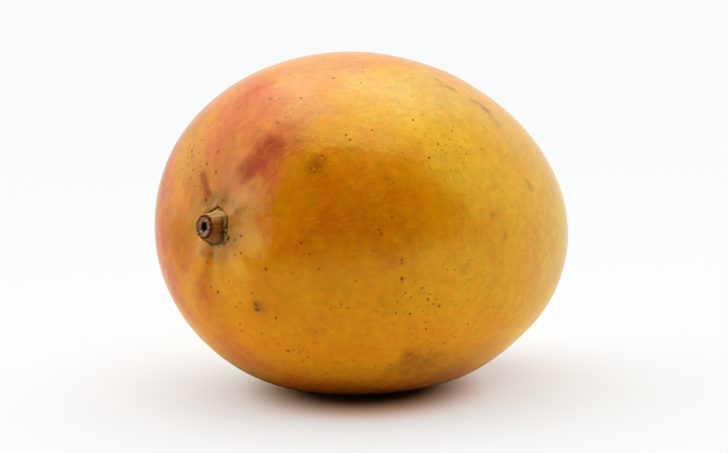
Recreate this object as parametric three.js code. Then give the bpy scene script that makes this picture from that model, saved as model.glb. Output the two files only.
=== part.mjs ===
// A ripe mango as picked, lying on one cheek with a short cut stem left on it.
// Millimetres, +Z up, +X from the stem end to the apex, +Y towards the fuller back edge.
// The origin is the middle of the small flat spot that the fruit rests on.
import * as THREE from "three";

const degrees = THREE.MathUtils.degToRad;

// Fruit: the whole form
const FRUIT_LENGTH = 112; // along the axis, before the stem end is pressed in
const FRUIT_WIDTH = 92.8; // edge to edge, level with the table
const FRUIT_HEIGHT = 87; // cheek to cheek
const TAPER = 0.05; // how much fuller the stem half is than the apex half
const SHOULDER = 0.12; // how full both ends are: 0 is a plain ellipsoid
const BELLY = 2; // how far the middle bows out towards the back edge
const AXIS_PITCH = degrees(7.8); // the stem end is tipped up by this much
const SAG_DEPTH = 3.5; // how far the lower cheek is flattened where the fruit lies on it
const SAG_BLEND = 3; // how softly the flattened part runs into the sides
const REST_DEPTH = 0.1; // the lowest part, which is pressed quite flat

// Fruit: the stem end
const STEM_DROP = degrees(1.5); // the stem sits this much below the end of the axis
const DIMPLE_DEPTH = 3.5;
const DIMPLE_SPREAD = degrees(20); // seen from the middle of the fruit
const FOLD_COUNT = 5; // soft folds that run out of the dimple
const FOLD_DEPTH = 0.3;
const FOLD_SPREAD = degrees(15);
const SOCKET_RADIUS = 4.5; // the hole that the stem's root stands in
const SOCKET_DEPTH = 3.1;

// Fruit: the apex
const BEAK_HEIGHT = 1.2; // the low point on the front side of the apex
const BEAK_SPREAD = degrees(12);
const BEAK_TURN = degrees(20); // from the apex towards the front edge

// Stem
const STEM_LENGTH = 4.2; // from the skin to the cut
const STEM_END_RADIUS = 2.75;
const STEM_NECK_RADIUS = 3.75; // just above the collar; the stem narrows from there to the cut
const STEM_GAP = 0.4; // between the root and its socket
const COLLAR_HEIGHT = 0.7;
const COLLAR_LOBES = 5; // scars of the five sepals
const COLLAR_LOBE_DEPTH = 0.22;
const PITH_RADIUS = 0.95; // the dark pit in the middle of the cut
const PITH_DEPTH = 1.1;
const STEM_TURN = degrees(-5); // the stem leans a little towards the back edge

// Fineness of the surfaces
const FRUIT_SIDES = 64;
const FRUIT_RINGS = 40;
const RING_EASE = 1.25; // above 1 draws the rings together at the stem end
const STEM_SIDES = 40;

const STEM_WAY = new THREE.Vector3(-1, 0, 0);
const BEAK_WAY = new THREE.Vector3(Math.cos(BEAK_TURN), -Math.sin(BEAK_TURN), 0);
const ACROSS_WAY = new THREE.Vector3(0, 1, 0);

const skinMaterial = new THREE.MeshStandardMaterial({ color: 0xd9922b, roughness: 0.42, metalness: 0 });
const stemMaterial = new THREE.MeshStandardMaterial({ color: 0xa97a3c, roughness: 0.8, metalness: 0 });

// 1 at zero, falling away like a bell to nearly nothing at twice the spread.
function bell(angle, spread) {
  return Math.exp(-((angle / spread) ** 2));
}

// The place on the skin for a point of a unit ball whose stem is at -X, before the fruit is laid down.
function skinPoint(onBall) {
  const direction = onBall.clone().applyAxisAngle(ACROSS_WAY, -STEM_DROP);
  const towardsStem = -direction.x;
  const girth = 1 + TAPER * towardsStem + SHOULDER * towardsStem ** 4;
  const point = new THREE.Vector3(
    (FRUIT_LENGTH / 2) * direction.x,
    (FRUIT_WIDTH / 2) * girth * direction.y + BELLY * (1 - towardsStem ** 2),
    (FRUIT_HEIGHT / 2) * girth * direction.z,
  );
  const stemAngle = onBall.angleTo(STEM_WAY);
  const around = Math.atan2(onBall.z, onBall.y);
  const pressed = DIMPLE_DEPTH * bell(stemAngle, DIMPLE_SPREAD);
  const foldReach = (stemAngle / FOLD_SPREAD) ** 2 * bell(stemAngle, FOLD_SPREAD) * Math.E;
  const folded = FOLD_DEPTH * foldReach * Math.cos(FOLD_COUNT * around);
  point.x += pressed - folded;
  point.addScaledVector(BEAK_WAY, BEAK_HEIGHT * bell(direction.angleTo(BEAK_WAY), BEAK_SPREAD));
  return point;
}

// Outline of a unit ball from the apex to the lip of the stem socket, then down the socket to its floor.
function fruitProfile() {
  const endGirth = 1 + TAPER + SHOULDER;
  const lip = Math.asin(SOCKET_RADIUS / ((FRUIT_HEIGHT / 2) * endGirth));
  const floor = Math.cos(lip) - SOCKET_DEPTH / (FRUIT_LENGTH / 2 - DIMPLE_DEPTH);
  const outline = [];
  for (let ring = FRUIT_RINGS; ring >= 0; ring--) {
    const angle = lip + (Math.PI - lip) * (ring / FRUIT_RINGS) ** RING_EASE;
    outline.push(new THREE.Vector2(ring === FRUIT_RINGS ? 0 : Math.sin(angle), Math.cos(angle)));
  }
  outline.push(new THREE.Vector2(Math.sin(lip), floor), new THREE.Vector2(0, floor));
  return outline;
}

// Moves every vertex of a geometry to where place() says.
function reshape(geometry, place) {
  const positions = geometry.getAttribute("position");
  const point = new THREE.Vector3();
  for (let i = 0; i < positions.count; i++) {
    const moved = place(point.fromBufferAttribute(positions, i));
    positions.setXYZ(i, moved.x, moved.y, moved.z);
  }
  geometry.computeVertexNormals();
  return geometry;
}

// Lifts a point so that the underside is softly flattened; heights run from the end of the flattening.
function sag(point, lowest) {
  const height = point.z - lowest - SAG_DEPTH;
  return point.setZ((height + Math.hypot(height, SAG_BLEND)) / 2);
}

// The fruit lying down: pitched, flattened below, and with its flat rest spot centred on the origin.
function makeFruit() {
  const geometry = new THREE.LatheGeometry(fruitProfile(), FRUIT_SIDES);
  geometry.rotateZ(Math.PI / 2);
  reshape(geometry, (point) => {
    const reach = point.length();
    return skinPoint(point.clone().normalize()).multiplyScalar(reach).applyAxisAngle(ACROSS_WAY, AXIS_PITCH);
  });
  geometry.computeBoundingBox();
  const lowest = geometry.boundingBox.min.z;
  const table = (Math.hypot(SAG_DEPTH, SAG_BLEND) - SAG_DEPTH) / 2 + REST_DEPTH;
  const flat = new THREE.Box3();
  reshape(geometry, (point) => {
    sag(point, lowest);
    if (point.z <= table) flat.expandByPoint(point.setZ(table));
    return point;
  });
  const restSpot = flat.getCenter(new THREE.Vector3());
  geometry.translate(-restSpot.x, -restSpot.y, -restSpot.z);
  const fruit = new THREE.Mesh(geometry, skinMaterial);
  fruit.name = "fruit";
  return { fruit, lowest, restSpot };
}

// Half outline of the stem, from the foot of its root up to the cut and down into the pith.
function stemProfile() {
  const root = SOCKET_RADIUS - STEM_GAP;
  const foot = STEM_GAP - SOCKET_DEPTH;
  return [
    [0, foot],
    [root - 0.3, foot],
    [root, foot + 0.4],
    [root, 0],
    [root + 0.1, COLLAR_HEIGHT * 0.5],
    [root - 0.15, COLLAR_HEIGHT],
    [STEM_NECK_RADIUS, COLLAR_HEIGHT + 0.45],
    [(STEM_NECK_RADIUS + STEM_END_RADIUS) / 2, STEM_LENGTH * 0.5],
    [STEM_END_RADIUS + 0.05, STEM_LENGTH * 0.8],
    [STEM_END_RADIUS + 0.1, STEM_LENGTH - 0.2],
    [STEM_END_RADIUS - 0.15, STEM_LENGTH],
    [PITH_RADIUS + 0.35, STEM_LENGTH - 0.12],
    [PITH_RADIUS, STEM_LENGTH - 0.35],
    [PITH_RADIUS * 0.75, STEM_LENGTH - PITH_DEPTH],
    [0, STEM_LENGTH - PITH_DEPTH - 0.1],
  ].map(([radius, height]) => new THREE.Vector2(radius, height));
}

// The cut stem, with a collar drawn in between the scars of the sepals.
function makeStem(lowest, restSpot) {
  const geometry = new THREE.LatheGeometry(stemProfile(), STEM_SIDES);
  reshape(geometry, (point) => {
    const radius = Math.hypot(point.x, point.z);
    if (radius === 0) return point;
    const around = Math.atan2(point.z, point.x);
    const onCollar = bell(point.y - COLLAR_HEIGHT * 0.5, COLLAR_HEIGHT);
    const drawnIn = COLLAR_LOBE_DEPTH * onCollar * (1 - Math.cos(COLLAR_LOBES * around)) * 0.5;
    const share = 1 - drawnIn / radius;
    return point.set(point.x * share, point.y, point.z * share);
  });
  geometry.rotateZ(Math.PI / 2);
  const stem = new THREE.Mesh(geometry, stemMaterial);
  stem.name = "stem";
  stem.rotation.z = STEM_TURN;
  const seat = new THREE.Group();
  seat.add(stem);
  seat.rotation.y = AXIS_PITCH - STEM_DROP;
  seat.position.copy(skinPoint(STEM_WAY)).applyAxisAngle(ACROSS_WAY, AXIS_PITCH);
  sag(seat.position, lowest).sub(restSpot);
  return seat;
}

const mango = new THREE.Group();
const { fruit, lowest, restSpot } = makeFruit();
mango.add(fruit, makeStem(lowest, restSpot));

export default mango;
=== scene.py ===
import math
import random

import bmesh
import bpy
from mathutils import Matrix, Vector, noise
from mathutils.bvhtree import BVHTree
from mathutils.kdtree import KDTree


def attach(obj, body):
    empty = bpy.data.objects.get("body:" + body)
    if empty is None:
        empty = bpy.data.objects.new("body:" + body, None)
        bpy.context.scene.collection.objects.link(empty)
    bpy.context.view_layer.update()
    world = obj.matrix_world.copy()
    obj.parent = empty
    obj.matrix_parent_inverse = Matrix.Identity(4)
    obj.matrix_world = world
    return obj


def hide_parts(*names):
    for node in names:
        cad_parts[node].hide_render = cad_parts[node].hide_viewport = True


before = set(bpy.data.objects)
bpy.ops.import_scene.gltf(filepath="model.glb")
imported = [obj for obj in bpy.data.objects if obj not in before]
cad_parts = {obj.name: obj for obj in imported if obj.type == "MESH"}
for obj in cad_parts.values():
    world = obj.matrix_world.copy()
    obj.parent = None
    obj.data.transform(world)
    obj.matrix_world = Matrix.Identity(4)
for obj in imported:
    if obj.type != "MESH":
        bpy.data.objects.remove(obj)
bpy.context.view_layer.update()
mm = 0.001
tiny = 1e-6
noise.seed_set(3)  # otherwise the clock sets it
print("frame loaded:", sorted(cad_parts))


def paint(red, green, blue):
    # a colour as a screen shows it, 0 to 255, made linear
    shown = [part / 255 for part in (red, green, blue)]
    return tuple(part / 12.92 if part <= 0.04045 else ((part + 0.055) / 1.055) ** 2.4 for part in shown)


def ease(low, high, value):
    # 0 below low, 1 above high, smooth between
    share = min(max((value - low) / (high - low), 0.0), 1.0)
    return share * share * (3 - 2 * share)


def bell(off, width):
    # 1 at zero, falling away to nearly nothing at twice the width
    return math.exp(-((off / width) ** 2))


def wayTo(around, above):
    # the direction of what stands so many degrees round and up
    turn = math.radians(around)
    rise = math.radians(above)
    return Vector((math.sin(turn) * math.cos(rise), -math.cos(turn) * math.cos(rise), math.sin(rise)))


# camera, at the photograph's viewing angle
cameraSet = {
    "azimuth": -47.0,
    "elevation": 8.0,
    "lens": 100.0,
    "sensor": 36.0,
    "distance": 0.506,
    "clip": (0.01, 60),
    "aim": (-0.0018, -0.0008, 0.0399),
    "imageSize": (728, 453),
}


def makeCamera(setup):
    back = wayTo(setup["azimuth"], setup["elevation"])
    data = bpy.data.cameras.new("photoCamera")
    data.lens = setup["lens"]
    data.sensor_width = setup["sensor"]
    data.clip_start, data.clip_end = setup["clip"]
    made = bpy.data.objects.new("photoCamera", data)
    made.rotation_mode = "QUATERNION"
    made.rotation_quaternion = (-back).to_track_quat("-Z", "Y")
    made.location = Vector(setup["aim"]) + back * setup["distance"]
    bpy.context.scene.collection.objects.link(made)
    bpy.context.scene.camera = made
    return made


def sightLine(pixelX, pixelY):
    # the way the camera looks through one pixel of the photograph
    width, height = cameraSet["imageSize"]
    reach = cameraSet["lens"] / cameraSet["sensor"] * width
    through = Vector((pixelX - width / 2, height / 2 - pixelY, -reach))
    return camera.rotation_quaternion @ through.normalized()


camera = makeCamera(cameraSet)
print("camera placed")


# stem: where it stands on the fruit, and its shape in mm
stemSet = {
    "seat": (-0.05273, -0.00200, 0.04512),
    "axis": (-0.9902, 0.0872, 0.1093),
    "steps": 144,
    "fineness": 2,  # cuts between the points of the profile
    "merge": 0.001,
    "profile": (  # radius and height above the skin, from the foot up to the cut and into the pith
        (0, -2.4), (3.7, -2.4), (4.2, -1.6), (4.3, -0.6), (4.28, -0.1), (4.18, 0.15), (4.02, 0.3),
        (3.82, 0.42), (3.7, 0.6), (3.62, 0.9), (3.44, 1.5), (3.22, 2.3), (3.0, 3.1), (2.86, 3.75),
        (2.78, 4.02), (2.6, 4.2), (2.36, 4.17), (2.0, 4.06), (1.4, 4.0), (1.12, 3.94), (0.94, 3.7),
        (0.82, 3.3), (0.5, 3.05), (0, 3.0),
    ),
    "collarEdge": 4.3,
    "footHeight": 2.6,  # above this the stub is round again
    # where the collar stands clear of the skin: angle from the camera's right, half width, gap in mm
    "cracks": ((104, 38, 0.28), (20, 26, 0.5), (-24, 12, 0.42), (-122, 22, 0.34), (170, 14, 0.05)),
    "crackClosed": -0.25,
    "crackSoft": (0.6, 1.15),  # shares of the half width where a crack begins to close, and is closed
    # roughness: depth in mm, waves (more are finer), and the radii and heights where it begins and is full
    "rough": {
        "bark": (0.2, 5.5, (2.4, 2.8), (0.3, 1.0)),
        "rim": (0.32, 3.1, (1.0, 1.4), (3.6, 4.1)),
        "fibre": (0.08, 9, (1.2, 1.5), (3.9, 4.0)),
        "collar": (0.22, 2.2, (3.4, 3.7), (0.6, 0.3)),
    },
    "barkDrawn": 0.25,  # less is longer along the stem
    "fibreDrawn": 0.5,
}


def stemFrame():
    # columns: right and up as the camera sees the stem end, then out along the stem
    axis = Vector(stemSet["axis"]).normalized()
    up = (Vector((0, 0, 1)) - axis * axis.z).normalized()
    right = up.cross(axis)
    turned = Matrix((right, up, axis)).transposed().to_4x4()
    return Matrix.Translation(Vector(stemSet["seat"])) @ turned


stemPlace = stemFrame()
stemBack = stemPlace.inverted()


def cadTree(node):
    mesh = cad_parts[node].data
    corners = [vert.co.copy() for vert in mesh.vertices]
    faces = [tuple(face.vertices) for face in mesh.polygons]
    return BVHTree.FromPolygons(corners, faces)


def linkMesh(name, bm):
    mesh = bpy.data.meshes.new(name)
    bm.to_mesh(mesh)
    bm.free()
    made = bpy.data.objects.new(name, mesh)
    bpy.context.scene.collection.objects.link(made)
    return made


def linkPiece(name, bm, replaced):
    piece = linkMesh(name, bm)
    piece.data.shade_smooth()
    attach(piece, "root")
    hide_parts(replaced)
    return piece


# fruit: skin drawn over the CAD solid, then worked
fruitSet = {
    "middle": (0.0, 0.0, 0.040),
    "ball": 0.04,  # radius of the ball that the skin starts from
    "divisions": 7,
    "finer": (0.01275, 0.0075),  # round the stem on that ball, one more division inside each
    "smoothing": 0.5,
    "smoothRounds": 30,
    "fillReach": 0.0056,  # the socket is skinned over inside this
    "fillEdge": 0.94,  # share of the reach past which the skin gives the level
    "fillRounds": 40,
    "stemSide": 0.02,  # the stem end is what lies no deeper than this behind the stem's foot
    "skin": 0.00013,
    "waves": ((0.034, 0.00022, 3.1), (0.013, 0.00008, 8.7), (0.0045, 0.000022, 1.3)),  # width, depth, seed
    "restClear": (0.0004, 0.004),  # heights over which the waves and lumps begin, clear of the rest spot
    # broad lumps on the outline: angle clockwise from the camera's right, height in mm, width in degrees
    "lumps": (
        (2, 0.25, 14), (36, -0.40, 10), (66, 0.45, 8), (143, 0.50, 10), (182, -0.38, 9), (165, 0.25, 8),
        (234, -0.42, 10), (298, 0.22, 9),
    ),
    # edge of the skin round the stem, mm to the camera's right and up from the stem's foot
    "rim": (
        (-0.2, 4.9), (3.4, 2.7), (3.4, -1.2), (4.6, -1.9),
        (2.6, -4.1), (-0.7, -4.8), (-4.4, -3.4), (-4.4, 2.5),
    ),
    "rimRough": 0.16,
    "rimWaves": 2.6,
    "rimSeed": 4.0,
    "pocketDepth": 1.5,
    "pocketEdge": (-0.35, 0.08),  # where the pocket's wall ends and begins, from the edge of the skin
    "lipHeight": 0.28,
    "lipWidth": 0.7,
    "lipShare": (0.6, 0.8),  # of the height: evenly, and by noise
    "lipWaves": 1.9,
    "lipSeed": 1.7,
    # folds at the stem: angle from the camera's right, height (mm), width (degrees), reach (mm)
    "folds": (
        (112, -0.42, 11, 9.0), (84, 0.22, 12, 8.0), (32, 0.40, 10, 9.0), (6, -0.28, 13, 8.0),
        (-30, 0.24, 12, 7.0), (-62, -0.14, 10, 9.0), (-98, -0.40, 8, 10.0), (-122, 0.22, 12, 8.0),
        (165, 0.2, 16, 8.0), (-165, -0.2, 12, 8.0),
    ),
    "foldStart": 1.5,  # mm from the edge of the skin to a fold's full height
    "foldWander": 14,  # degrees
    "foldBend": 0.12,  # less bends more slowly along the fold
    "foldSeed": 0.4,
    "reliefReach": 40,  # mm from the stem
}


def cross2(first, last):
    return first[0] * last[1] - first[1] * last[0]


def rimAt(angle, setup):
    # radius in mm of the many-sided edge of the skin round the stem
    way = (math.cos(angle), math.sin(angle))
    corners = setup["rim"]
    reach = 0.0
    for first, last in zip(corners, corners[1:] + corners[:1]):
        side = (last[0] - first[0], last[1] - first[1])
        turn = cross2(way, side)
        if abs(turn) < tiny:
            continue
        along = cross2(first, side) / turn
        share = cross2(first, way) / turn
        if along > 0 and -tiny <= share <= 1 + tiny:
            reach = along
    ragged = noise.noise(Vector((*way, setup["rimSeed"])) * setup["rimWaves"])
    return reach + setup["rimRough"] * ragged


rimTable = [rimAt(math.radians(degree), fruitSet) for degree in range(-180, 181)]


def rimRadius(angle):
    # the same, looked up by the degree
    degree = math.degrees(angle) + 180
    low = min(int(degree), 359)
    return rimTable[low] + (rimTable[low + 1] - rimTable[low]) * (degree - low)


def stemRelief(place, setup):
    # how far the skin stands out along the stem, in mm, at a place given in the stem's own frame
    radius = math.hypot(place.x, place.y) / mm
    if radius > setup["reliefReach"] or place.z < -setup["stemSide"]:
        return 0.0
    angle = math.atan2(place.y, place.x)
    rim = rimRadius(angle)
    inner, outer = setup["pocketEdge"]
    height = -setup["pocketDepth"] * (1 - ease(rim + inner, rim + outer, radius))
    even, uneven = setup["lipShare"]
    around = Vector((math.cos(angle), math.sin(angle), setup["lipSeed"]))
    ragged = even + uneven * noise.noise(around * setup["lipWaves"])
    height += setup["lipHeight"] * ragged * bell(radius - rim - setup["lipWidth"], setup["lipWidth"])
    for foldAngle, foldHeight, foldWidth, foldReach in setup["folds"]:
        bend = noise.noise(Vector((radius * setup["foldBend"], foldAngle, setup["foldSeed"])))
        off = math.degrees(angle) - foldAngle + setup["foldWander"] * bend
        off = (off + 180) % 360 - 180
        along = ease(rim, rim + setup["foldStart"], radius) * bell(radius - rim, foldReach)
        height += foldHeight * along * bell(off, foldWidth)
    return height


def lumpWays(setup):
    # each lump's direction from the middle of the fruit
    turned = camera.rotation_quaternion
    ways = []
    for angle, height, width in setup["lumps"]:
        across = Vector((math.cos(math.radians(angle)), -math.sin(math.radians(angle)), 0))
        ways.append((turned @ across, height * mm, math.radians(width)))
    return ways


def relax(bm, verts, rounds, setup):
    for _ in range(rounds):
        bmesh.ops.smooth_vert(
            bm, verts=verts, factor=setup["smoothing"],
            use_axis_x=True, use_axis_y=True, use_axis_z=True,
        )


def skinOver(bm, setup):
    # a level skin over the socket, eased into what is round it
    inner = []
    sunk = []
    edgeHeights = []
    for vert in bm.verts:
        place = stemBack @ vert.co
        away = place.xy.length / setup["fillReach"]
        if away < 1 and place.z > -setup["stemSide"]:
            inner.append(vert)
            if away < setup["fillEdge"]:
                sunk.append(vert)
            else:
                edgeHeights.append(place.z)
    level = sum(edgeHeights) / len(edgeHeights)
    for vert in sunk:
        place = stemBack @ vert.co
        vert.co = stemPlace @ Vector((place.x, place.y, level))
    relax(bm, inner, setup["fillRounds"], setup)


def shapeFruit(setup, tree):
    middle = Vector(setup["middle"])
    bm = bmesh.new()
    bmesh.ops.create_icosphere(bm, subdivisions=setup["divisions"], radius=setup["ball"])
    seat = (Vector(stemSet["seat"]) - middle).normalized() * setup["ball"]
    for reach in setup["finer"]:
        near = [edge for edge in bm.edges if min((vert.co - seat).length for vert in edge.verts) < reach]
        bmesh.ops.subdivide_edges(bm, edges=near, cuts=1, use_grid_fill=True)
        bmesh.ops.triangulate(bm, faces=[face for face in bm.faces if len(face.verts) > 3])
    for vert in bm.verts:
        vert.co = tree.ray_cast(middle, vert.co.normalized())[0]
    skinOver(bm, setup)
    relax(bm, bm.verts, setup["smoothRounds"], setup)  # takes the facets out
    bm.normal_update()
    print("fruit drawn over the solid:", len(bm.faces), "faces")
    out = Vector(stemSet["axis"]).normalized()
    ways = lumpWays(setup)
    for vert in bm.verts:
        lift = setup["skin"]
        for width, depth, seed in setup["waves"]:
            lift += depth * noise.noise(vert.co / width + Vector((seed, seed, seed)))
        reach = (vert.co - middle).normalized()
        for way, height, width in ways:
            lift += height * bell(reach.angle(way), width)
        relief = stemRelief(stemBack @ vert.co, setup) * mm
        vert.co += vert.normal * lift * ease(*setup["restClear"], vert.co.z) + out * relief
        vert.co.z = max(vert.co.z, 0.0)
    bm.normal_update()
    return bm


fruitMesh = shapeFruit(fruitSet, cadTree("fruit"))
skinTree = BVHTree.FromBMesh(fruitMesh)
print("fruit shaped")


# pixels of the photograph that miss the fruit are drawn in a little towards its middle
pixelSet = {
    "middle": (361, 223.33),
    "drawIn": 0.03,
}


def spotAt(pixelX, pixelY):
    # the place on the skin that a pixel of the photograph shows
    place = skinTree.ray_cast(camera.location, sightLine(pixelX, pixelY))[0]
    if place is None:
        middleX, middleY = pixelSet["middle"]
        pixelX += (middleX - pixelX) * pixelSet["drawIn"]
        pixelY += (middleY - pixelY) * pixelSet["drawIn"]
        place = skinTree.ray_cast(camera.location, sightLine(pixelX, pixelY))[0]
    return place


def spotTowards(way):
    # the place on the skin in one direction from the fruit's middle
    return skinTree.ray_cast(Vector(fruitSet["middle"]), Vector(way).normalized())[0]


tones = {
    "gold": paint(250, 164, 4),
    "yellow": paint(254, 192, 24),
    "lemon": paint(252, 196, 38),
    "amber": paint(232, 136, 0),
    "burnt": paint(222, 116, 0),
    "ochre": paint(230, 150, 8),
    # the peach tone is a painted highlight, pale over the top
    "peachSheen": paint(236, 159, 84),
    # the straw tone is partly the skin's paler yellow, partly painted sheen
    "strawSheen": paint(240, 190, 74),
    "blush": paint(232, 126, 62),
    "coral": paint(226, 108, 48),
    "rust": paint(210, 98, 8),
    "red": paint(178, 54, 0),
    "orange": paint(230, 132, 30),
    "olive": paint(190, 122, 2),
    "moss": paint(172, 118, 46),
    "beige": paint(214, 152, 74),
    "pink": paint(236, 146, 86),
    "stain": paint(168, 100, 40),
    "scar": paint(176, 86, 14),
    # crack is painted shade, for the pocket wall round the stem
    "crack": paint(46, 18, 6),
}

# colour zones of the skin: tone, strength, radius in mm, from one pixel to another of the photograph,
# or from one direction to another on the unseen sides
skinSet = {
    "ground": "gold",
    "zones": (
        ("yellow", 0.9, 46, (0.9, -0.5, 0.5), (0.9, 0.2, 0.3)),
        ("yellow", 0.7, 46, (0.3, 0.9, 0.2), (0.5, 0.7, -0.3)),
        ("lemon", 0.7, 26, (552, 200), (545, 290)),
        ("yellow", 0.8, 24, (440, 110), (500, 190)),
        ("yellow", 0.6, 16, (440, 285), (500, 290)),
        ("coral", 0.75, 30, (-0.66, 0.72, 0.1), (-0.55, 0.62, 0.5)),
        ("ochre", 0.6, 24, (-0.3, 0.8, -0.5), (-0.5, 0.5, -0.6)),
        # the next four zones: a deep amber middle, partly the skin's own colour, partly painted shade for
        # the dull middle that faces the dim room in front and mirrors no light
        ("amber", 0.95, 22, (292, 200), (382, 206)),
        ("amber", 0.8, 8, (276, 195), (296, 166)),
        ("burnt", 0.5, 12, (335, 206), (375, 226)),
        ("burnt", 0.55, 8, (272, 226), (300, 242)),
        ("amber", 0.5, 9, (254, 278), (272, 300)),
        ("amber", 0.3, 9, (452, 222), (490, 208)),
        # painted shade: the underside darker towards where the fruit rests
        ("rust", 0.8, 36, (-0.2, 0.2, -1), (0.03, -0.06, -1)),
        # painted shade along the bottom edge, next to where the fruit rests
        ("burnt", 0.9, 11, (300, 384), (440, 380)),
        ("yellow", 0.75, 12, (448, 148), (478, 178)),
        # straw zones: partly the skin's paler yellow, partly painted sheen under the light overhead
        ("strawSheen", 0.75, 15, (368, 88), (430, 92)),
        ("strawSheen", 0.5, 11, (446, 92), (500, 128)),
        ("yellow", 0.35, 9, (325, 126), (400, 128)),
        ("blush", 0.9, 20, (236, 165), (276, 92)),
        ("blush", 0.85, 12, (222, 156), (240, 92)),
        ("pink", 0.7, 7, (238, 172), (246, 206)),
        ("coral", 0.75, 6.5, (256, 92), (268, 100)),
        ("coral", 0.7, 6, (232, 128), (246, 106)),
        ("coral", 0.6, 5, (285, 128), (296, 118)),
        # the peach zones are a painted highlight: the pale sheen where the light overhead shines off the
        # top
        ("peachSheen", 0.9, 11, (300, 72), (350, 66)),
        ("peachSheen", 0.85, 8, (294, 88), (312, 106)),
        ("rust", 0.72, 7.4, (268, 154), (290, 140)),
        ("rust", 0.8, 5.0, (244, 179), (256, 170)),
        ("red", 0.95, 5.2, (250, 172), (268, 151)),
        ("ochre", 0.95, 9.5, (190, 132), (197, 184)),
        ("orange", 0.5, 5, (206, 110), (212, 118)),
        ("coral", 0.9, 13, (162, 180), (170, 285)),
        ("coral", 0.5, 6, (176, 222), (186, 262)),
        ("red", 0.35, 4.5, (170, 216), (176, 238)),
        ("orange", 0.7, 8, (204, 288), (214, 322)),
        ("coral", 0.45, 9, (186, 316), (238, 356)),
        ("coral", 0.6, 8, (232, 346), (252, 362)),
        ("coral", 0.25, 4, (316, 318), (314, 332)),
        ("olive", 0.2, 8, (456, 366), (484, 350)),
        ("orange", 0.6, 7, (190, 200), (193, 252)),
        ("rust", 0.45, 6, (200, 182), (200, 212)),
        ("ochre", 0.65, 5, (199, 174), (202, 192)),
        ("beige", 0.75, 9.5, (210, 222), (224, 232)),
        ("moss", 0.22, 8.0, (212, 206), (232, 238)),
        ("moss", 0.22, 6.0, (226, 194), (242, 196)),
        # a paler streak beside the stem: partly skin tone, partly painted sheen
        ("strawSheen", 0.32, 5.5, (243, 206), (254, 236)),
        # deeper amber at the left edge of the middle: partly the skin's colour, partly painted shade where
        # the reflection of the left panel ends
        ("amber", 0.7, 5.0, (284, 192), (276, 240)),
        ("moss", 0.8, 3.8, (210, 202), (222, 196)),
        ("moss", 0.5, 3.2, (234, 203), (236, 209)),
        ("moss", 0.65, 3.2, (205, 247), (210, 250)),
        ("moss", 0.55, 3.0, (226, 247), (230, 245)),
        ("beige", 0.3, 4.4, (222, 248), (225, 260)),
        ("yellow", 0.5, 4.0, (233, 266), (242, 274)),
        ("rust", 0.5, 2.8, (209, 252), (207, 300)),
        # the next two zones are painted shade in a fold of the skin left of the stem
        ("rust", 0.5, 2.4, (203, 180), (205, 195)),
        ("red", 0.75, 1.8, (203, 175), (207, 194)),
        ("olive", 0.7, 8, (412, 364), (440, 366)),
        ("rust", 0.3, 2.4, (407, 354), (414, 362)),
        ("stain", 0.6, 2.4, (256, 306), (257, 307)),
        ("stain", 0.28, 2.4, (436, 79), (440, 85)),
        ("stain", 0.5, 2.2, (449, 88), (453, 90)),
        ("stain", 0.4, 1.8, (494, 214), (494, 215)),
        ("stain", 0.45, 1.7, (505, 235), (505, 236)),
        ("stain", 0.4, 1.5, (527, 180), (532, 188)),
        ("stain", 0.25, 1.9, (464, 268), (464, 269)),
        ("stain", 0.25, 1.5, (452, 280), (452, 281)),
        ("stain", 0.4, 1.5, (260, 130), (260, 131)),
        ("stain", 0.42, 2.3, (475, 103), (487, 111)),
        ("stain", 0.36, 2.0, (487, 111), (496, 123)),
        ("scar", 0.6, 3.0, (313, 165), (319, 162)),
    ),
    "zoneCore": 0.15,  # share of the radius that has the full strength
    "wander": ((0.009, 0.0026), (0.003, 0.0018)),  # the zones' edges: over what width, and how far
    "wanderBelow": 0.006,  # zones of a smaller radius than this wander less
    "blotches": ((0.0042, 0.45), (0.0015, 0.5)),  # the zones' strength: over what width, and how much
    "pocketReach": 0.006,
    "pocketEdge": (-0.12, 0.16),  # mm from the edge of the skin, where the painted shade in the pocket ends
    "roughness": 0.13,
    "shine": 0.42,
    "shineTint": (1.0, 0.86, 0.42),
}


def spotOf(end):
    # two numbers are a pixel, three are a direction
    return spotAt(*end) if len(end) == 2 else spotTowards(end)


def distanceTo(place, first, last):
    along = last - first
    if along.length < tiny:
        return (place - first).length
    share = min(max((place - first).dot(along) / along.length_squared, 0.0), 1.0)
    return (place - first - along * share).length


def paintZones(bm, setup):
    layer = bm.verts.layers.float_color.new("skinTone")
    zones = []
    for tone, strength, radius, *ends in setup["zones"]:
        zones.append((Vector(tones[tone]), strength, radius * mm, *map(spotOf, ends)))
    inner, outer = setup["pocketEdge"]
    for vert in bm.verts:
        shift = Vector((0, 0, 0))
        for width, reach in setup["wander"]:
            shift += noise.noise_vector(vert.co / width) * reach
        blotch = 1.0
        for width, amount in setup["blotches"]:
            blotch += amount * noise.noise(vert.co / width)
        colour = Vector(tones[setup["ground"]])
        for tone, strength, radius, first, last in zones:
            moved = vert.co + shift * min(radius / setup["wanderBelow"], 1)
            far = distanceTo(moved, first, last) / radius
            if far < 1:
                share = strength * (1 - ease(setup["zoneCore"], 1.0, far)) * blotch
                colour = colour.lerp(tone, min(max(share, 0.0), 1.0))
        # painted shade on the pocket wall round the stem, darkest inside the skin's edge
        place = stemBack @ vert.co
        if place.xy.length < setup["pocketReach"] and place.z > -fruitSet["stemSide"]:
            rim = rimRadius(math.atan2(place.y, place.x))
            clear = ease(rim + inner, rim + outer, place.xy.length / mm)
            colour = Vector(tones["crack"]).lerp(colour, clear)
        vert[layer] = (*colour, 1.0)


paintZones(fruitMesh, skinSet)
print("skin zones painted")


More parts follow.
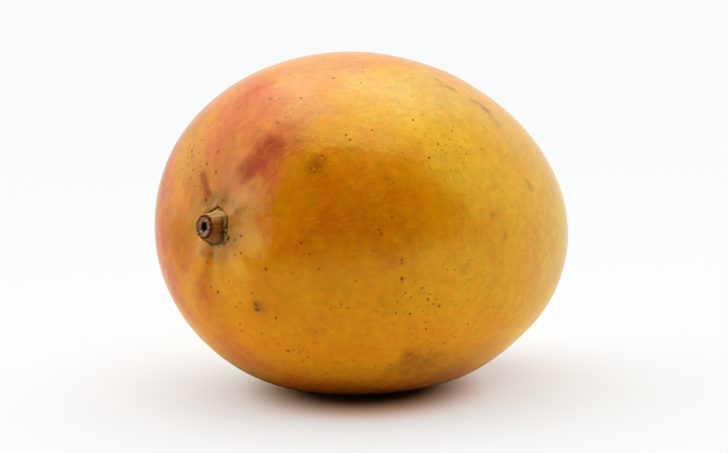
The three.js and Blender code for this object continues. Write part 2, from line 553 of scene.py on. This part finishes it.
# dark dots and marks: pixels of the photograph, size in mm
markSet = {
    "darkDots": (
        (270, 99), (301, 98), (278, 123), (192, 151), (199, 153), (192, 156), (207, 164), (216, 172),
        (193, 170), (201, 189), (235, 240), (241, 236), (235, 255), (241, 253), (266, 269), (276, 318),
        (326, 373), (302, 362), (333, 78), (372, 130), (346, 135), (350, 140), (413, 120), (438, 144),
        (450, 140), (429, 158), (450, 171), (392, 217), (422, 288), (410, 314), (396, 313), (426, 329),
        (354, 361), (375, 366), (430, 294), (301, 243), (218, 292), (211, 287), (240, 324), (278, 344),
        (428, 299), (436, 299), (433, 304), (439, 306),
    ),
    "faintDots": (
        (220, 120), (188, 164), (184, 162), (191, 178), (194, 186), (194, 130), (209, 127), (202, 140),
        (182, 169), (171, 190), (207, 262), (183, 267), (186, 271), (254, 282), (252, 293), (240, 303),
        (236, 307), (242, 331), (262, 334), (299, 345), (308, 357), (266, 370), (310, 254), (319, 269),
        (363, 72), (331, 61), (368, 61), (361, 83), (398, 103), (412, 96), (425, 102), (442, 107),
        (436, 113), (453, 127), (452, 131), (458, 142), (461, 147), (456, 151), (466, 154), (442, 150),
        (446, 153), (462, 163), (464, 168), (482, 149), (464, 219), (430, 266), (411, 297), (405, 293),
        (397, 302), (384, 306), (428, 315), (436, 313), (425, 322), (456, 305), (468, 300), (455, 270),
        (468, 264), (469, 280), (341, 304), (348, 308), (356, 281), (388, 343), (427, 341), (444, 343),
        (419, 350), (391, 365), (468, 324), (458, 329),
    ),
    "darkSize": 0.34,
    "faintSize": 0.29,
    "sizeSpread": (0.7, 1.3),
    "darkTone": (*paint(146, 60, 0), 0.95),
    "faintTone": (*paint(156, 76, 0), 0.8),
    # larger marks: pixel, size in mm, tone, strength, height in mm
    "large": (
        ((322, 156), 0.5, "scab", 0.6, -0.06),
        ((325, 159), 0.4, "scab", 0.55, -0.04),
        ((311, 169), 0.45, "scab", 0.65, -0.06),
        ((314, 172), 0.4, "dark", 0.5, -0.04),
        ((317, 164), 0.9, "scab", 0.35, 0.14),
        ((314, 169), 0.42, "glint", 0.6, 0.10),
        ((321, 158), 0.32, "glint", 0.55, 0.05),
        ((320, 169), 0.4, "glint", 0.35, 0.05),
        ((206, 200), 0.45, "dark", 0.9, -0.05),
        ((256, 305), 0.65, "scab", 0.9, -0.10),
        ((257, 309), 0.7, "dark", 0.85, -0.12),
        ((255, 303), 0.35, "dark", 0.7, -0.06),
        ((218, 152), 0.6, "scab", 0.7, 0.04),
        ((209, 154), 0.5, "scab", 0.5, 0.03),
        ((402, 279), 0.5, "dark", 0.8, -0.06),
        ((402, 282), 0.4, "dark", 0.7, -0.05),
        ((402, 260), 0.45, "scab", 0.8, -0.05),
        ((402, 263), 0.4, "scab", 0.7, -0.05),
        ((288, 351), 0.55, "scab", 0.8, -0.05),
        ((294, 350), 0.4, "scab", 0.6, -0.04),
        ((299, 352), 0.35, "scab", 0.6, -0.03),
        ((379, 230), 0.45, "dark", 0.5, -0.05),
        ((381, 234), 0.5, "scab", 0.7, -0.05),
        ((409, 355), 0.9, "scab", 0.5, -0.04),
    ),
    "tones": {
        "scab": paint(158, 70, 10),
        "dark": paint(92, 36, 6),
        "glint": paint(236, 156, 66),
    },
    # how a larger mark is raised: reach and edge as shares of its size, width and share of the roughness
    "raiseReach": 2,
    "raiseEdge": (0.4, 1.3),
    "raiseWidth": 0.0009,
    "raiseRough": 0.8,
    # more fine dots: middle pixel, spread in pixels, how many
    "clusters": (
        ((425, 285), 18, 26), ((455, 150), 16, 18), ((198, 160), 9, 12), ((300, 346), 14, 10),
        ((425, 330), 15, 12), ((350, 140), 22, 12), ((240, 290), 12, 9), ((525, 250), 14, 12),
        ((330, 300), 30, 12), ((400, 108), 18, 12), ((490, 300), 16, 10), ((290, 110), 14, 8),
        ((375, 350), 18, 10), ((424, 358), 8, 16),
    ),
    "clusterSize": (0.13, 0.24),
    "clusterStrength": (0.4, 0.9),
    # dots over the whole skin, drawn together here and there
    "seed": 20,
    "scattered": 560,
    "scatterSize": (0.12, 0.30),
    "scatterStrength": (0.25, 0.75),
    "scatterEven": 0.45,
    "scatterWidth": 0.012,
    "scatterShift": (5, 5, 5),
    "seenFrom": 0.4,  # how squarely the camera sees a place that counts as fully seen
    "seenFewer": 0.75,  # shares left out where the camera sees the skin
    "seenFainter": 0.5,
    "drawReach": 1.6,  # of a mark's size
    "drawMargin": 0.0006,  # a little more than a face reaches from its middle
}


def listMarks(setup):
    chance = random.Random(setup["seed"])
    marks = []
    for kind in ("dark", "faint"):
        for pixel in setup[kind + "Dots"]:
            size = setup[kind + "Size"] * chance.uniform(*setup["sizeSpread"])
            marks.append((spotAt(*pixel), size * mm, setup[kind + "Tone"], 0.0))
    for pixel, size, tone, strength, height in setup["large"]:
        marks.append((spotAt(*pixel), size * mm, (*setup["tones"][tone], strength), height * mm))
    return marks


def scatterMarks(bm, setup):
    chance = random.Random(setup["seed"])
    low, high = setup["scatterSize"]
    bm.faces.ensure_lookup_table()
    marks = []
    while len(marks) < setup["scattered"]:
        face = bm.faces[chance.randrange(len(bm.faces))]
        size = low + (high - low) * chance.random() ** 2
        strength = chance.uniform(*setup["scatterStrength"])
        place = face.calc_center_median()
        seen = ease(0.0, setup["seenFrom"], face.normal.dot((camera.location - place).normalized()))
        together = noise.noise(place / setup["scatterWidth"] + Vector(setup["scatterShift"]))
        if chance.random() < (setup["scatterEven"] + together) * (1 - setup["seenFewer"] * seen):
            strength *= 1 - setup["seenFainter"] * seen
            marks.append((place, size * mm, (*setup["darkTone"][:3], strength), 0.0))
    return marks


def clusterMarks(setup):
    chance = random.Random(setup["seed"])
    marks = []
    for (pixelX, pixelY), spread, count in setup["clusters"]:
        for _ in range(count):
            place = spotAt(chance.gauss(pixelX, spread), chance.gauss(pixelY, spread))
            size = chance.uniform(*setup["clusterSize"])
            strength = chance.uniform(*setup["clusterStrength"])
            if place:
                marks.append((place, size * mm, (*setup["faintTone"][:3], strength), 0.0))
    return marks


def drawMarks(bm, marks, setup):
    # every face near a mark is told where the mark is; the material draws it
    middle = bm.loops.layers.float_vector.new("markMiddle")
    size = bm.loops.layers.float.new("markSize")
    tone = bm.loops.layers.float_color.new("markTone")
    bm.faces.ensure_lookup_table()
    places = KDTree(len(bm.faces))
    for face in bm.faces:
        places.insert(face.calc_center_median(), face.index)
    places.balance()
    nearest = {}
    for place, radius, colour, _ in marks:
        reach = radius * setup["drawReach"] + setup["drawMargin"]
        for _, index, far in places.find_range(place, reach):
            if far - radius < nearest.get(index, math.inf):
                nearest[index] = far - radius
                for loop in bm.faces[index].loops:
                    loop[middle] = place
                    loop[size] = radius
                    loop[tone] = colour


def raiseMarks(bm, marks, setup):
    # larger marks stand proud of the skin or are sunk into it
    tall = [(place, radius, height) for place, radius, _, height in marks if height]
    for vert in bm.verts:
        for place, radius, height in tall:
            far = (vert.co - place).length / radius
            if far < setup["raiseReach"]:
                rough = 1 + setup["raiseRough"] * noise.noise(vert.co / setup["raiseWidth"])
                vert.co += vert.normal * height * rough * (1 - ease(*setup["raiseEdge"], far))


marks = listMarks(markSet)
raiseMarks(fruitMesh, marks, markSet)
marks = scatterMarks(fruitMesh, markSet) + clusterMarks(markSet) + marks
drawMarks(fruitMesh, marks, markSet)
fruitMesh.normal_update()
print("marks drawn:", len(marks))


def plug(tree, node, inputs):
    # sockets are linked, other values are set
    for name, value in inputs.items():
        if isinstance(value, bpy.types.NodeSocket):
            tree.links.new(value, node.inputs[name])
        else:
            node.inputs[name].default_value = value


def makeNode(tree, kind, inputs=None, **settings):
    made = tree.nodes.new("ShaderNode" + kind)
    for name, value in settings.items():
        setattr(made, name, value)
    plug(tree, made, inputs or {})
    return made


def maths(tree, kind, *values):
    return makeNode(tree, "Math", dict(enumerate(values)), operation=kind).outputs[0]


def vectorMaths(tree, kind, *values):
    made = makeNode(tree, "VectorMath", dict(enumerate(values)), operation=kind)
    return made.outputs["Value" if kind in ("LENGTH", "DISTANCE", "DOT_PRODUCT") else "Vector"]


def smoothStep(tree, value, low, high, start=0.0, end=1.0):
    made = makeNode(tree, "MapRange", {
        "Value": value, "From Min": low, "From Max": high, "To Min": start, "To Max": end,
    }, interpolation_type="SMOOTHSTEP")
    return made.outputs["Result"]


def mixTones(tree, share, first, last):
    # inputs 0, 6 and 7 of a colour mix are the share and the two colours, and output 2 is the colour
    return makeNode(tree, "Mix", {0: share, 6: first, 7: last}, data_type="RGBA").outputs[2]


def attribute(tree, name, output="Color"):
    return makeNode(tree, "Attribute", attribute_name=name).outputs[output]


def startMaterial(name):
    material = bpy.data.materials.new(name)
    material.use_nodes = True
    tree = material.node_tree
    tree.nodes.clear()
    shader = makeNode(tree, "BsdfPrincipled")
    makeNode(tree, "OutputMaterial", {"Surface": shader.outputs["BSDF"]})
    return material, tree, shader


# fine pattern of the skin: widths in mm, amounts as shares of a pattern that runs from -0.5 to 0.5
grainSet = {
    "noiseRough": 0.55,
    "patchWidth": 9.0,
    "patchDetail": 3.0,
    "patchValue": 0.28,
    "hueWidth": 6.3,
    "hueDetail": 3.0,
    "hueShift": (0.3, 0.1, 0.2),
    "hueValue": 0.032,
    "mottleWidth": 2.0,
    "mottleDetail": 2.0,
    "mottleValue": 0.36,
    "mottleRough": 0.08,
    "mottleRelief": 4.0,
    "grainWidth": 0.6,
    "grainDetail": 1.0,
    "grainValue": 0.12,
    "grainRelief": 0.8,
    "windRadius": 0.045,  # turns an angle round the fruit into a length, for what runs from stem to apex
    "streakWidth": 1.1,
    "streakLength": 7.0,
    "streakDetail": 3.0,
    "streakValue": 0.12,
    "scuffWidth": 0.75,
    "scuffLength": 2.1,
    "scuffDetail": 2.0,
    "scuffEdge": (0.11, 0.20),  # how much of the skin is scuffed: higher is less
    "scuffValue": -0.15,
    # the pale strokes are painted glints, as off a lumpy skin, where the scuff pattern runs the other way
    "glintShare": 0.36,
    "scuffTone": paint(252, 184, 66),
    "scuffRelief": 0.9,
    "plainEnds": (0.010, 0.027),  # no strokes nearer than this to the axis, all of them past that
    "poreSpacing": 1.7,
    "poreEdge": (0.22, 0.088),  # shares of the spacing
    "poreValue": 0.11,
    "poreRelief": 0.3,
    "wanderWidth": 0.5,
    "wanderDetail": 2.0,
    "wanderReach": 0.5,
    "markEdge": (1.35, 0.4),  # shares of a mark's size where it begins, and where it is full
    "markRough": 0.12,
    "markRelief": -0.8,
    "bumpHeight": 0.032,
}


def makeSkinMaterial(setup, grain):
    material, tree, shader = startMaterial("mangoSkin")
    place = makeNode(tree, "TexCoord").outputs["Object"]
    apart = makeNode(tree, "SeparateXYZ", {0: place})
    height = maths(tree, "SUBTRACT", apart.outputs["Z"], fruitSet["middle"][2])
    angle = maths(tree, "ARCTAN2", apart.outputs["Y"], height)
    around = maths(tree, "MULTIPLY", angle, grain["windRadius"])
    fromAxis = makeNode(tree, "CombineXYZ", {0: 0.0, 1: apart.outputs["Y"], 2: height})
    fade = smoothStep(tree, vectorMaths(tree, "LENGTH", fromAxis.outputs[0]), *grain["plainEnds"])

    def pattern(kind, vector):
        texture = makeNode(tree, "TexNoise", {
            "Vector": vector, "Scale": 1 / (grain[kind + "Width"] * mm),
            "Detail": grain[kind + "Detail"], "Roughness": grain["noiseRough"]})
        return maths(tree, "SUBTRACT", texture.outputs["Fac"], 0.5)

    def drawnOut(kind):
        # a pattern that runs from the stem to the apex
        along = maths(tree, "MULTIPLY", apart.outputs["X"], grain[kind + "Width"] / grain[kind + "Length"])
        wound = makeNode(tree, "CombineXYZ", {0: around, 1: along, 2: 0.0})
        return maths(tree, "MULTIPLY", pattern(kind, wound.outputs[0]), fade)

    def addUp(start, effect, patterns):
        # start, plus each pattern times its amount for that effect
        total = start
        for kind, value in patterns.items():
            total = maths(tree, "MULTIPLY_ADD", value, grain[kind + effect], total)
        return total

    streaks = drawnOut("streak")
    scuffs = drawnOut("scuff")
    low, high = grain["scuffEdge"]
    patches = pattern("patch", place)
    hues = pattern("hue", vectorMaths(tree, "ADD", place, grain["hueShift"]))
    mottle = pattern("mottle", place)
    speckle = pattern("grain", place)
    pores = makeNode(tree, "TexVoronoi", {"Vector": place, "Scale": 1 / (grain["poreSpacing"] * mm)})
    pore = smoothStep(tree, pores.outputs["Distance"], *grain["poreEdge"])
    value = addUp(1.0, "Value", {
        "patch": patches, "mottle": mottle, "grain": speckle, "streak": streaks,
        "scuff": smoothStep(tree, scuffs, low, high), "pore": pore})
    skin = makeNode(tree, "HueSaturation", {
        "Hue": addUp(0.5, "Value", {"hue": hues}), "Value": value, "Color": attribute(tree, "skinTone")})
    # painted glints: pale strokes where the scuff pattern runs the other way
    pale = maths(tree, "MULTIPLY", smoothStep(tree, scuffs, -low, -high), grain["glintShare"])
    withGlints = mixTones(tree, pale, skin.outputs[0], (*grain["scuffTone"], 1))

    # dots and marks, with edges that wander
    wander = makeNode(tree, "TexNoise", {
        "Vector": place, "Scale": 1 / (grain["wanderWidth"] * mm), "Detail": grain["wanderDetail"]})
    reach = grain["wanderReach"] * mm
    moved = vectorMaths(tree, "MULTIPLY_ADD", wander.outputs["Color"], (reach,) * 3, place)
    centred = vectorMaths(tree, "SUBTRACT", moved, (reach / 2,) * 3)
    far = vectorMaths(tree, "DISTANCE", centred, attribute(tree, "markMiddle", "Vector"))
    size = maths(tree, "MAXIMUM", attribute(tree, "markSize", "Fac"), tiny)
    inside = smoothStep(tree, maths(tree, "DIVIDE", far, size), *grain["markEdge"])
    share = maths(tree, "MULTIPLY", inside, attribute(tree, "markTone", "Alpha"))
    relief = addUp(0.0, "Relief", {
        "mottle": mottle, "grain": speckle, "scuff": scuffs, "pore": pore, "mark": share})
    bump = makeNode(tree, "Bump", {"Height": relief, "Distance": grain["bumpHeight"] * mm, "Strength": 1.0})
    plug(tree, shader, {
        "Base Color": mixTones(tree, share, withGlints, attribute(tree, "markTone")),
        "Roughness": addUp(setup["roughness"], "Rough", {"mark": share, "mottle": mottle}),
        "Normal": bump.outputs["Normal"],
        "Specular IOR Level": setup["shine"],
        "Specular Tint": (*setup["shineTint"], 1)})
    return material


fruit = linkPiece("mango_fruit", fruitMesh, "fruit")
fruit.data.materials.append(makeSkinMaterial(skinSet, grainSet))
print("fruit finished")


# colours of the stem; an edge says where a tone begins, where it is full and its share there, and is
# given in radii or heights (mm), amounts of noise, or sines of the angle round the stem
stemPaint = {
    "tones": {
        "pith": paint(22, 13, 7),
        "pithEdge": paint(70, 36, 14),
        "wood": paint(190, 132, 100),
        "fibre": paint(104, 52, 30),
        "fleck": paint(226, 190, 168),
        "bark": paint(92, 30, 8),
        # top is a painted highlight along the top of the stub
        "top": paint(212, 166, 88),
        "side": paint(156, 90, 22),
        "under": paint(150, 110, 56),
        # neck is painted shade low on the stub, by the collar, except along the top
        "neck": paint(78, 60, 16),
        "collar": paint(206, 160, 96),
        "shade": paint(124, 84, 36),
        # crack is painted shade where the stub sinks into the skin
        "crack": paint(40, 18, 8),
    },
    "cutAbove": 3.9,  # the cut face lies above this height and inside this radius
    "cutInside": 2.5,
    "pitInside": 1.3,
    "fibreShare": (0.5, 1.3),  # evenly, and by noise
    "fibreMost": 0.9,
    "fleckWaves": 7,
    "fleckDrawn": 2.4,
    "fleckShift": (3, 1),
    "fleckEdge": (0.12, 0.4, 0.9),
    "pithWaves": 2.5,
    "pithRough": 0.24,
    "pithRing": (1.38, 1.08, 1.0),
    "pithEdge": (1.16, 0.93, 1.0),
    "rimWaves": 4,
    "rimEdge": (2.1, 2.35, 1.0),
    "barkWaves": 3,
    "barkEdge": (3.55, 3.85, 1.0),
    "edgeRough": 0.25,
    "topEdge": (0.35, 0.95, 1.0),
    "underEdge": (0.3, 0.9, 1.0),
    "shadeWaves": 6,
    "shadeDrawn": 0.35,
    "shadeEdge": (0.05, 0.5, 0.5),
    "neckHeight": 0.85,
    "neckWidth": 0.5,
    "neckEdge": (0.9, 0.4, 0.9),
    "spotWaves": 0.9,
    "spotSeed": 2.0,
    "spotEdge": (0.0, 0.5, 1.0),
    "collarEdge": (0.5, 0.3, 0.8),
    "crackEdge": (0.0, -0.45, 1.0),
    "grainScale": 2600.0,
    "grainDetail": 4.0,
    "grainRange": (0.3, 0.7),
    "grainValue": (0.72, 1.24),
    "bumpHeight": 0.00018,
    "bumpStrength": 0.8,
    "roughness": 0.62,
    "shine": 0.2,
}


def collarGap(angle, setup):
    # space between the collar and the skin in mm
    closed = setup["crackClosed"]
    begin, end = setup["crackSoft"]
    gap = closed
    for middle, half, width in setup["cracks"]:
        off = (math.degrees(angle) - middle + 180) % 360 - 180
        gap = max(gap, width - (width - closed) * ease(half * begin, half * end, abs(off)))
    return gap


def shapeStem(setup):
    bm = bmesh.new()
    corners = [bm.verts.new((radius, 0, height)) for radius, height in setup["profile"]]
    for first, last in zip(corners, corners[1:]):
        bm.edges.new((first, last))
    bmesh.ops.subdivide_edges(bm, edges=bm.edges[:], cuts=setup["fineness"])
    bmesh.ops.spin(
        bm, geom=bm.verts[:] + bm.edges[:], axis=(0, 0, 1), cent=(0, 0, 0),
        angle=math.tau, steps=setup["steps"], use_merge=True,
    )
    bmesh.ops.remove_doubles(bm, verts=bm.verts, dist=setup["merge"])
    bmesh.ops.recalc_face_normals(bm, faces=bm.faces)
    return bm


def woodNoise(around, waves, along=0.0):
    return noise.noise(around * waves + Vector((0, 0, along)))


def roughness(kind, radius, height, around, along=0.0):
    # how far one kind of roughness moves the stem's surface, in mm
    depth, waves, out, up = stemSet["rough"][kind]
    return depth * ease(*out, radius) * ease(*up, height) * woodNoise(around, waves, along)


def lay(colour, tone, edge, value):
    begin, full, most = edge
    return colour.lerp(tone, most * ease(begin, full, value))


def cutTone(radius, around, tone, setup):
    # the cut end: fibres and flecks, the dark pith, and the rim of bark
    even, uneven = setup["fibreShare"]
    fibre = even + uneven * woodNoise(around, stemSet["rough"]["fibre"][1], radius * stemSet["fibreDrawn"])
    colour = tone["wood"].lerp(tone["fibre"], min(max(fibre, 0), setup["fibreMost"]))
    shift = Vector((*setup["fleckShift"], radius * setup["fleckDrawn"]))
    fleck = noise.noise(around * setup["fleckWaves"] + shift)
    colour = lay(colour, tone["fleck"], setup["fleckEdge"], fleck)
    away = radius - setup["pithRough"] * woodNoise(around, setup["pithWaves"])
    colour = lay(colour, tone["pithEdge"], setup["pithRing"], away)
    colour = lay(colour, tone["pith"], setup["pithEdge"], away)
    ragged = setup["edgeRough"] * woodNoise(around, setup["rimWaves"])
    return lay(colour, tone["bark"], setup["rimEdge"], radius + ragged)


def sideTone(radius, height, angle, around, tone, setup):
    # the side: a painted highlight along the top, an olive-tan underside, painted shade on the neck except
    # along the top, the collar at the foot, and painted shade where the foot sinks into the skin
    lift = math.sin(angle)
    colour = lay(tone["side"], tone["top"], setup["topEdge"], lift)
    colour = lay(colour, tone["under"], setup["underEdge"], -lift)
    shade = woodNoise(around, setup["shadeWaves"], height * setup["shadeDrawn"])
    colour = lay(colour, tone["shade"], setup["shadeEdge"], shade)
    ragged = setup["edgeRough"] * woodNoise(around, setup["barkWaves"])
    colour = lay(colour, tone["bark"], setup["barkEdge"], height + ragged)
    neck = colour.lerp(tone["neck"], bell(height - setup["neckHeight"], setup["neckWidth"]))
    colour = lay(colour, neck, setup["neckEdge"], lift)
    spotPlace = Vector((around.x * radius, around.y * radius, setup["spotSeed"]))
    spots = noise.noise(spotPlace * setup["spotWaves"])
    collar = lay(tone["collar"], tone["shade"], setup["spotEdge"], spots)
    colour = lay(colour, collar, setup["collarEdge"], height)
    return lay(colour, tone["crack"], setup["crackEdge"], height)


def workStem(bm, setup, colours):
    # bark, collar and colours, then into place
    layer = bm.verts.layers.float_color.new("stemTone")
    tone = {name: Vector(colour) for name, colour in colours["tones"].items()}
    for vert in bm.verts:
        radius = math.hypot(vert.co.x, vert.co.y)
        height = vert.co.z
        angle = math.atan2(vert.co.y, vert.co.x)
        around = Vector((math.cos(angle), math.sin(angle), 0))
        onCut = height > colours["cutAbove"] and radius < colours["cutInside"]
        if onCut or radius < colours["pitInside"]:
            vert[layer] = (*cutTone(radius, around, tone, colours), 1)
        else:
            vert[layer] = (*sideTone(radius, height, angle, around, tone, colours), 1)
        if radius < setup["merge"]:
            vert.co = stemPlace @ (vert.co * mm)
            continue
        foot = (rimRadius(angle) - collarGap(angle, setup)) / setup["collarEdge"]
        newRadius = radius * (1 + (foot - 1) * (1 - ease(0, setup["footHeight"], height)))
        newRadius += roughness("bark", radius, height, around, height * setup["barkDrawn"])
        height += roughness("rim", radius, height, around)
        height -= max(roughness("fibre", radius, height, around, radius * setup["fibreDrawn"]), 0)
        height += roughness("collar", radius, height, around)
        share = newRadius / radius
        vert.co = stemPlace @ (Vector((vert.co.x * share, vert.co.y * share, height)) * mm)
    bm.normal_update()


def makeStemMaterial(setup):
    material, tree, shader = startMaterial("stemWood")
    grain = makeNode(tree, "TexNoise", {
        "Vector": makeNode(tree, "TexCoord").outputs["Object"],
        "Scale": setup["grainScale"], "Detail": setup["grainDetail"]}).outputs["Fac"]
    low, high = setup["grainRange"]
    dark, pale = setup["grainValue"]
    value = makeNode(tree, "MapRange", {
        "Value": grain, "From Min": low, "From Max": high, "To Min": dark, "To Max": pale})
    colour = makeNode(tree, "HueSaturation", {
        "Value": value.outputs["Result"], "Color": attribute(tree, "stemTone")})
    bump = makeNode(tree, "Bump", {
        "Height": grain, "Distance": setup["bumpHeight"], "Strength": setup["bumpStrength"]})
    plug(tree, shader, {
        "Base Color": colour.outputs[0], "Normal": bump.outputs["Normal"],
        "Roughness": setup["roughness"], "Specular IOR Level": setup["shine"]})
    return material


stemMesh = shapeStem(stemSet)
workStem(stemMesh, stemSet, stemPaint)
stem = linkPiece("mango_stem", stemMesh, "stem")
stem.data.materials.append(makeStemMaterial(stemPaint))
print("stem finished")


# floor, and in its place a card that the camera doesn't see, which lights the fruit from below;
# a ring is unlit or warm in the middle and plain outside: it changes from start to end,
# a depth below 1 makes it longer towards the camera, and a shift moves it left and towards the camera
stageSet = {
    "size": 6.0,
    "cuts": 8,
    "roughness": 0.9,
    "lean": 8.0,  # degrees that the rings are turned to the left in front
    "floorDrop": 0.00005,
    "floorColour": 0.385,
    "floorNear": (1.0, 0.53, 0.26),  # light that comes through the fruit's own colour
    "floorFar": (0.985, 1.0, 0.995),
    "floorGlow": 0.50,
    "floorRing": {"start": 0.014, "end": 0.0328, "depth": 0.83, "shift": (0, 0.0048, 0)},
    "warmRing": {"start": 0.0125, "end": 0.0375, "depth": 0.83, "shift": (0, 0.0048, 0)},
    "cardDrop": 0.0002,
    "cardNear": (1.0, 0.80, 0.40),
    "cardFar": (1.0, 1.0, 0.82),
    "cardGlow": 0.88,
    "cardRing": {"start": 0.019, "end": 0.055, "depth": 0.78, "shift": (0.004, 0, 0)},
    "tintRing": {"start": 0.04, "end": 0.14, "depth": 0.78, "shift": (0, 0, 0)},
    "dimGlow": 0.25,  # the card is dimmer in front, past the edge of the picture
    "dimEdge": (-0.13, -0.20),
}


def makeSheet(name, drop, setup):
    # a wide level sheet, its material, and a vector that runs right and away, nearly as the camera sees it
    bm = bmesh.new()
    bmesh.ops.create_grid(bm, x_segments=setup["cuts"], y_segments=setup["cuts"], size=setup["size"])
    bmesh.ops.translate(bm, verts=bm.verts, vec=(0, 0, -drop))
    sheet = linkMesh(name, bm)
    material, tree, shader = startMaterial(name)
    sheet.data.materials.append(material)
    plug(tree, shader, {
        "Base Color": (0, 0, 0, 1), "Roughness": setup["roughness"], "Specular IOR Level": 0.0})
    turned = makeNode(tree, "VectorRotate", {
        "Vector": makeNode(tree, "TexCoord").outputs["Object"],
        "Angle": math.radians(setup["lean"] - cameraSet["azimuth"])}, rotation_type="Z_AXIS")
    return sheet, tree, shader, turned.outputs[0]


def ringShare(tree, turned, ring, most=1.0):
    squeezed = vectorMaths(tree, "MULTIPLY_ADD", turned, (1, ring["depth"], 1), ring["shift"])
    away = vectorMaths(tree, "LENGTH", squeezed)
    return smoothStep(tree, away, ring["start"], ring["end"], 0.0, most)


def makeFloor(setup):
    floor, tree, shader, turned = makeSheet("floor", setup["floorDrop"], setup)
    plain = ringShare(tree, turned, setup["warmRing"])
    tone = mixTones(tree, plain, (*setup["floorNear"], 1), (*setup["floorFar"], 1))
    shade = makeNode(tree, "VectorMath", {0: tone, "Scale": setup["floorColour"]}, operation="SCALE")
    plug(tree, shader, {
        "Base Color": shade.outputs[0], "Emission Color": tone,
        "Emission Strength": ringShare(tree, turned, setup["floorRing"], setup["floorGlow"])})
    floor.visible_diffuse = False
    floor.visible_glossy = False
    floor.visible_shadow = False


def makeCard(setup):
    card, tree, shader, turned = makeSheet("floorCard", setup["cardDrop"], setup)
    plain = ringShare(tree, turned, setup["tintRing"])
    glow = ringShare(tree, turned, setup["cardRing"], setup["cardGlow"])
    away = makeNode(tree, "SeparateXYZ", {0: turned}).outputs["Y"]
    dim = smoothStep(tree, away, *setup["dimEdge"], 1.0, setup["dimGlow"])
    plug(tree, shader, {
        "Emission Color": mixTones(tree, plain, (*setup["cardNear"], 1), (*setup["cardFar"], 1)),
        "Emission Strength": maths(tree, "MULTIPLY", glow, dim)})
    card.visible_camera = False


# soft light: a box overhead, a panel to each side, pale walls behind, a dim room in front with a fill lamp
lightSet = {
    "box": 2.42,
    "leftPanel": 1.42,
    "rightPanel": 0.74,
    "walls": 0.72,
    "room": 0.06,
    # edges in degrees, and how soft they are: the box to either side of straight up and up from the
    # camera's side, the panels round from the camera
    "boxSides": (33.0, 12.0),
    "boxFront": (68.0, 5.0),
    "boxBack": (132.0, 14.0),
    "leftEdge": (62.0, 7.0),
    "rightEdge": (86.0, 14.0),
    "panelEnd": (130.0, 20.0),
    "fillPower": 1.1,
    "fillSize": 0.5,
    "fillPlace": (28.0, 46.0, 0.9),  # degrees round from the camera, degrees up, metres away
}


def grey(level):
    return level, level, level, 1


def makeLight(setup):
    world = bpy.data.worlds.new("studio")
    bpy.context.scene.world = world
    world.use_nodes = True
    tree = world.node_tree
    tree.nodes.clear()
    turn = math.radians(cameraSet["azimuth"])
    way = makeNode(tree, "TexCoord").outputs["Generated"]

    def step(value, at, soft):
        return smoothStep(tree, value, math.radians(at - soft), math.radians(at + soft))

    def without(share):
        return maths(tree, "SUBTRACT", 1.0, share)

    forward = vectorMaths(tree, "DOT_PRODUCT", way, (math.sin(turn), -math.cos(turn), 0))
    aside = vectorMaths(tree, "DOT_PRODUCT", way, (math.cos(turn), math.sin(turn), 0))
    up = vectorMaths(tree, "DOT_PRODUCT", way, (0, 0, 1))
    bearing = maths(tree, "ARCTAN2", aside, forward)
    rise = maths(tree, "ARCTAN2", up, forward)
    lean = maths(tree, "ABSOLUTE", maths(tree, "ARCTAN2", aside, up))
    left = step(maths(tree, "MULTIPLY", bearing, -1.0), *setup["leftEdge"])
    right = step(bearing, *setup["rightEdge"])
    top = step(rise, *setup["boxFront"])
    beside = maths(tree, "MAXIMUM", left, right)
    sides = maths(tree, "MAXIMUM", beside, top)
    ahead = without(step(maths(tree, "ABSOLUTE", bearing), *setup["panelEnd"]))
    within = without(step(lean, *setup["boxSides"]))
    before = without(step(rise, *setup["boxBack"]))
    box = maths(tree, "MULTIPLY", maths(tree, "MULTIPLY", top, within), before)
    colour = mixTones(tree, sides, grey(setup["room"]), grey(setup["walls"]))
    colour = mixTones(tree, maths(tree, "MULTIPLY", left, ahead), colour, grey(setup["leftPanel"]))
    colour = mixTones(tree, maths(tree, "MULTIPLY", right, ahead), colour, grey(setup["rightPanel"]))
    colour = mixTones(tree, box, colour, grey(setup["box"]))
    shine = makeNode(tree, "Background", {"Color": colour})
    makeNode(tree, "OutputWorld", {"Surface": shine.outputs[0]})


def makeFill(setup):
    # a broad lamp beside the camera that leaves no highlight
    around, rise, away = setup["fillPlace"]
    way = wayTo(cameraSet["azimuth"] + around, rise)
    data = bpy.data.lights.new("fillLamp", "AREA")
    data.energy = setup["fillPower"]
    data.size = setup["fillSize"]
    lamp = bpy.data.objects.new("fillLamp", data)
    lamp.location = Vector(cameraSet["aim"]) + way * away
    lamp.rotation_mode = "QUATERNION"
    lamp.rotation_quaternion = way.to_track_quat("Z", "Y")
    lamp.visible_glossy = False
    bpy.context.scene.collection.objects.link(lamp)


makeFloor(stageSet)
makeCard(stageSet)
makeLight(lightSet)
makeFill(lightSet)
bpy.context.scene.view_settings.view_transform = "Standard"
print("floor and light made")
